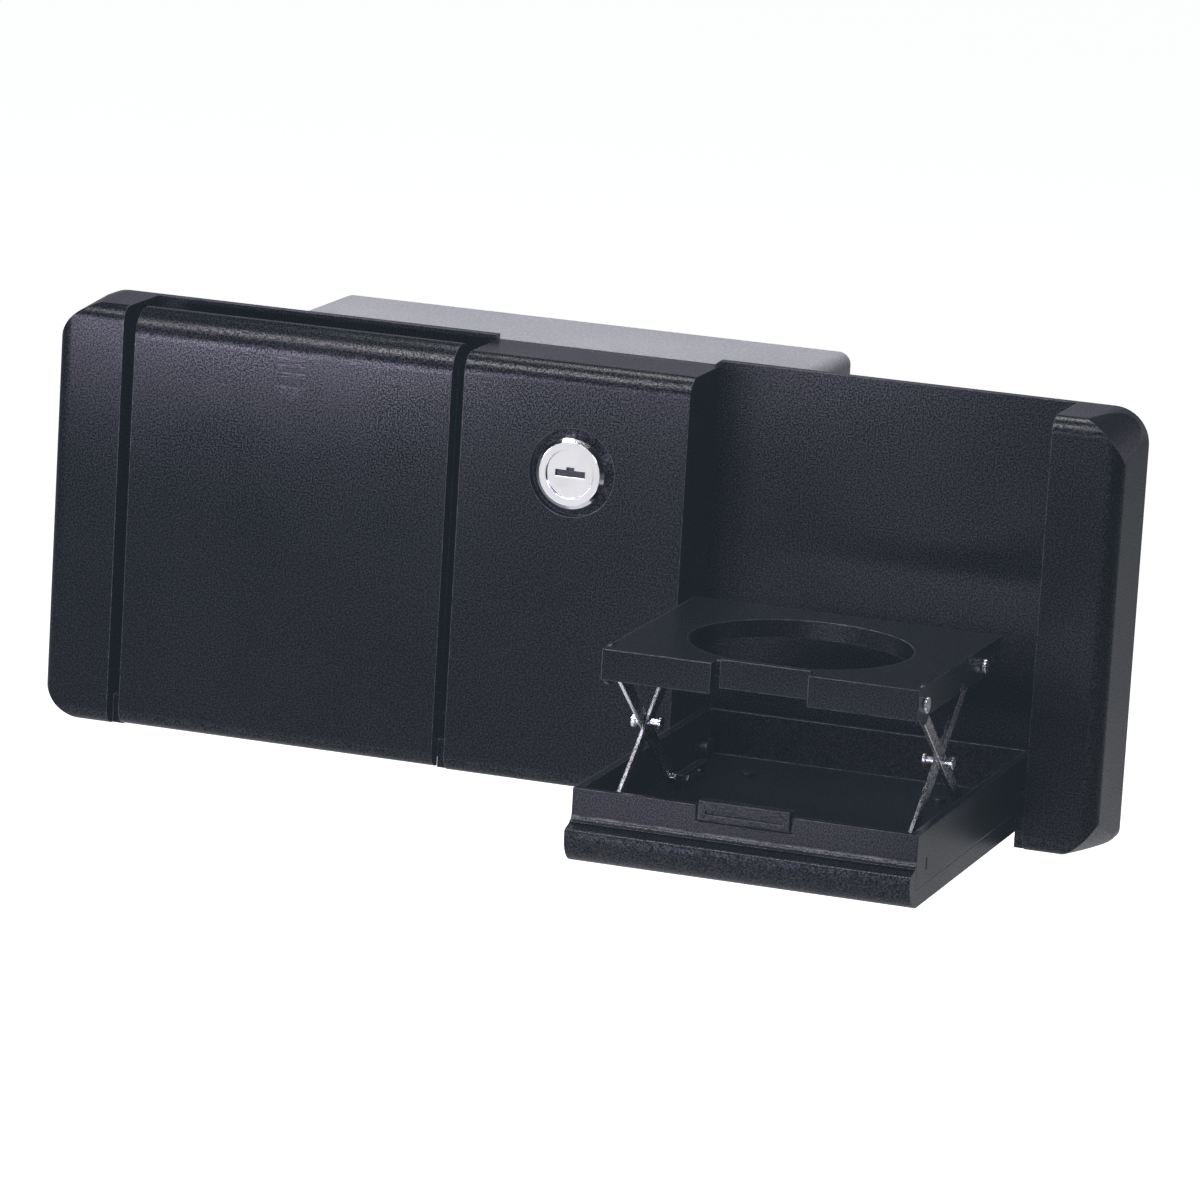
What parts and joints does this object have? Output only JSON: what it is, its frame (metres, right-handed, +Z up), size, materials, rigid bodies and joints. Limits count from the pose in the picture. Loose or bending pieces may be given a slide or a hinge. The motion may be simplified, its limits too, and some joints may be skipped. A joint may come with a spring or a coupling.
{
  "type": "lockable console panel with folding cup holders",
  "caption": "Lockable hinged panel over a storage bin, with fold-down cup holders whose rings rise on scissor links.",
  "frame": {"origin": "middle of the panel's bottom edge, on its front plane", "axes": "+Z up, +Y from the front of the panel to the bin behind it, +X to the right seen from the front"},
  "size_m": [0.34, 0.2114, 0.132],
  "materials": {
    "grained_black": "fine moulded grain",
    "smooth_black": "satin moulded",
    "grey_shell": "light stipple",
    "chrome": "polished",
    "bright_steel": "bright plated",
    "steel": "satin",
    "black_steel": "black oxide",
    "zinc": "zinc plated"
  },
  "bodies": {
    "bin": {"bin_shell": "grey_shell", "bin_hinge_leaf": "steel", "bin_hinge_rivets": "steel", "hinge_rod": "steel", "strike_plate": "steel", "strike_rivets": "steel"},
    "panel": {"back_plate": "grained_black", "left_end_cap": "grained_black", "right_end_cap": "grained_black", "centre_panel": "grained_black", "panel_screws": "zinc", "tray_hinge_pins": "smooth_black", "panel_hinge_leaf": "steel", "panel_hinge_rivets": "steel", "lock_barrel": "chrome", "lock_nut": "zinc"},
    "lock": {"lock_plug": "chrome", "lock_cam": "zinc", "lock_cam_screw": "zinc"},
    "right_tray": {"right_door_skin": "grained_black", "right_tray_liner": "smooth_black", "right_skin_screws": "black_steel", "right_pivot_brackets": "smooth_black", "right_catch_tab": "smooth_black"},
    "right_links_b": {"right_link_b": "bright_steel", "right_link_b_pins": "bright_steel", "right_cross_pins": "bright_steel"},
    "right_links_a": {"right_link_a": "bright_steel", "right_link_a_pins": "bright_steel"},
    "right_ring": {"right_ring_plate": "smooth_black", "right_ring_clip": "smooth_black", "right_ring_rivets": "bright_steel"},
    "left_tray": {"left_door_skin": "grained_black", "left_tray_liner": "smooth_black", "left_skin_screws": "black_steel", "left_pivot_brackets": "smooth_black", "left_catch_tab": "smooth_black"},
    "left_links_b": {"left_link_b": "bright_steel", "left_link_b_pins": "bright_steel", "left_cross_pins": "bright_steel"},
    "left_links_a": {"left_link_a": "bright_steel", "left_link_a_pins": "bright_steel"},
    "left_ring": {"left_ring_plate": "smooth_black", "left_ring_clip": "smooth_black", "left_ring_rivets": "bright_steel"}
  },
  "joints": [
    {"name": "panel_swing", "type": "hinge", "parent": "bin", "child": "panel", "pos_m": [0, 0.0337, 0.0032], "axis": [1, 0, 0], "range_deg": [0, 80]},
    {"name": "lock_turn", "type": "hinge", "parent": "panel", "child": "lock", "pos_m": [0, 0, 0.0976], "axis": [0, 1, 0], "range_deg": [0, 90]},
    {"name": "right_tray_fold", "type": "hinge", "parent": "panel", "child": "right_tray", "pos_m": [0.092, 0.0106, 0.0152], "axis": [1, 0, 0], "range_deg": [-90, 0]},
    {"name": "right_link_b_turn", "type": "hinge", "parent": "right_tray", "child": "right_links_b", "pos_m": [0.092, -0.087, 0.0152], "axis": [1, 0, 0], "range_deg": [-33.4, 0]},
    {"name": "right_link_a_turn", "type": "hinge", "parent": "right_links_b", "child": "right_links_a", "pos_m": [0.092, -0.05741, 0.03824], "axis": [1, 0, 0], "range_deg": [0, 66.8]},
    {"name": "right_ring_turn", "type": "hinge", "parent": "right_links_a", "child": "right_ring", "pos_m": [0.092, -0.087, 0.06127], "axis": [1, 0, 0], "range_deg": [-33.4, 0]},
    {"name": "left_tray_fold", "type": "hinge", "parent": "panel", "child": "left_tray", "pos_m": [-0.092, 0.0106, 0.0152], "axis": [1, 0, 0], "range_deg": [0, 90]},
    {"name": "left_link_b_turn", "type": "hinge", "parent": "left_tray", "child": "left_links_b", "pos_m": [-0.092, 0.0106, 0.1128], "axis": [1, 0, 0], "range_deg": [0, 33.4]},
    {"name": "left_link_a_turn", "type": "hinge", "parent": "left_links_b", "child": "left_links_a", "pos_m": [-0.092, 0.01354, 0.07542], "axis": [1, 0, 0], "range_deg": [-66.8, 0]},
    {"name": "left_ring_turn", "type": "hinge", "parent": "left_links_a", "child": "left_ring", "pos_m": [-0.092, 0.01648, 0.1128], "axis": [1, 0, 0], "range_deg": [0, 33.4]}
  ],
  "couplings": [
    {"joint": "right_link_b_turn", "follows": "right_tray_fold", "ratio": 0.37111},
    {"joint": "right_link_a_turn", "follows": "right_tray_fold", "ratio": -0.74222},
    {"joint": "right_ring_turn", "follows": "right_tray_fold", "ratio": 0.37111},
    {"joint": "left_link_b_turn", "follows": "left_tray_fold", "ratio": 0.37111},
    {"joint": "left_link_a_turn", "follows": "left_tray_fold", "ratio": -0.74222},
    {"joint": "left_ring_turn", "follows": "left_tray_fold", "ratio": 0.37111}
  ]
}
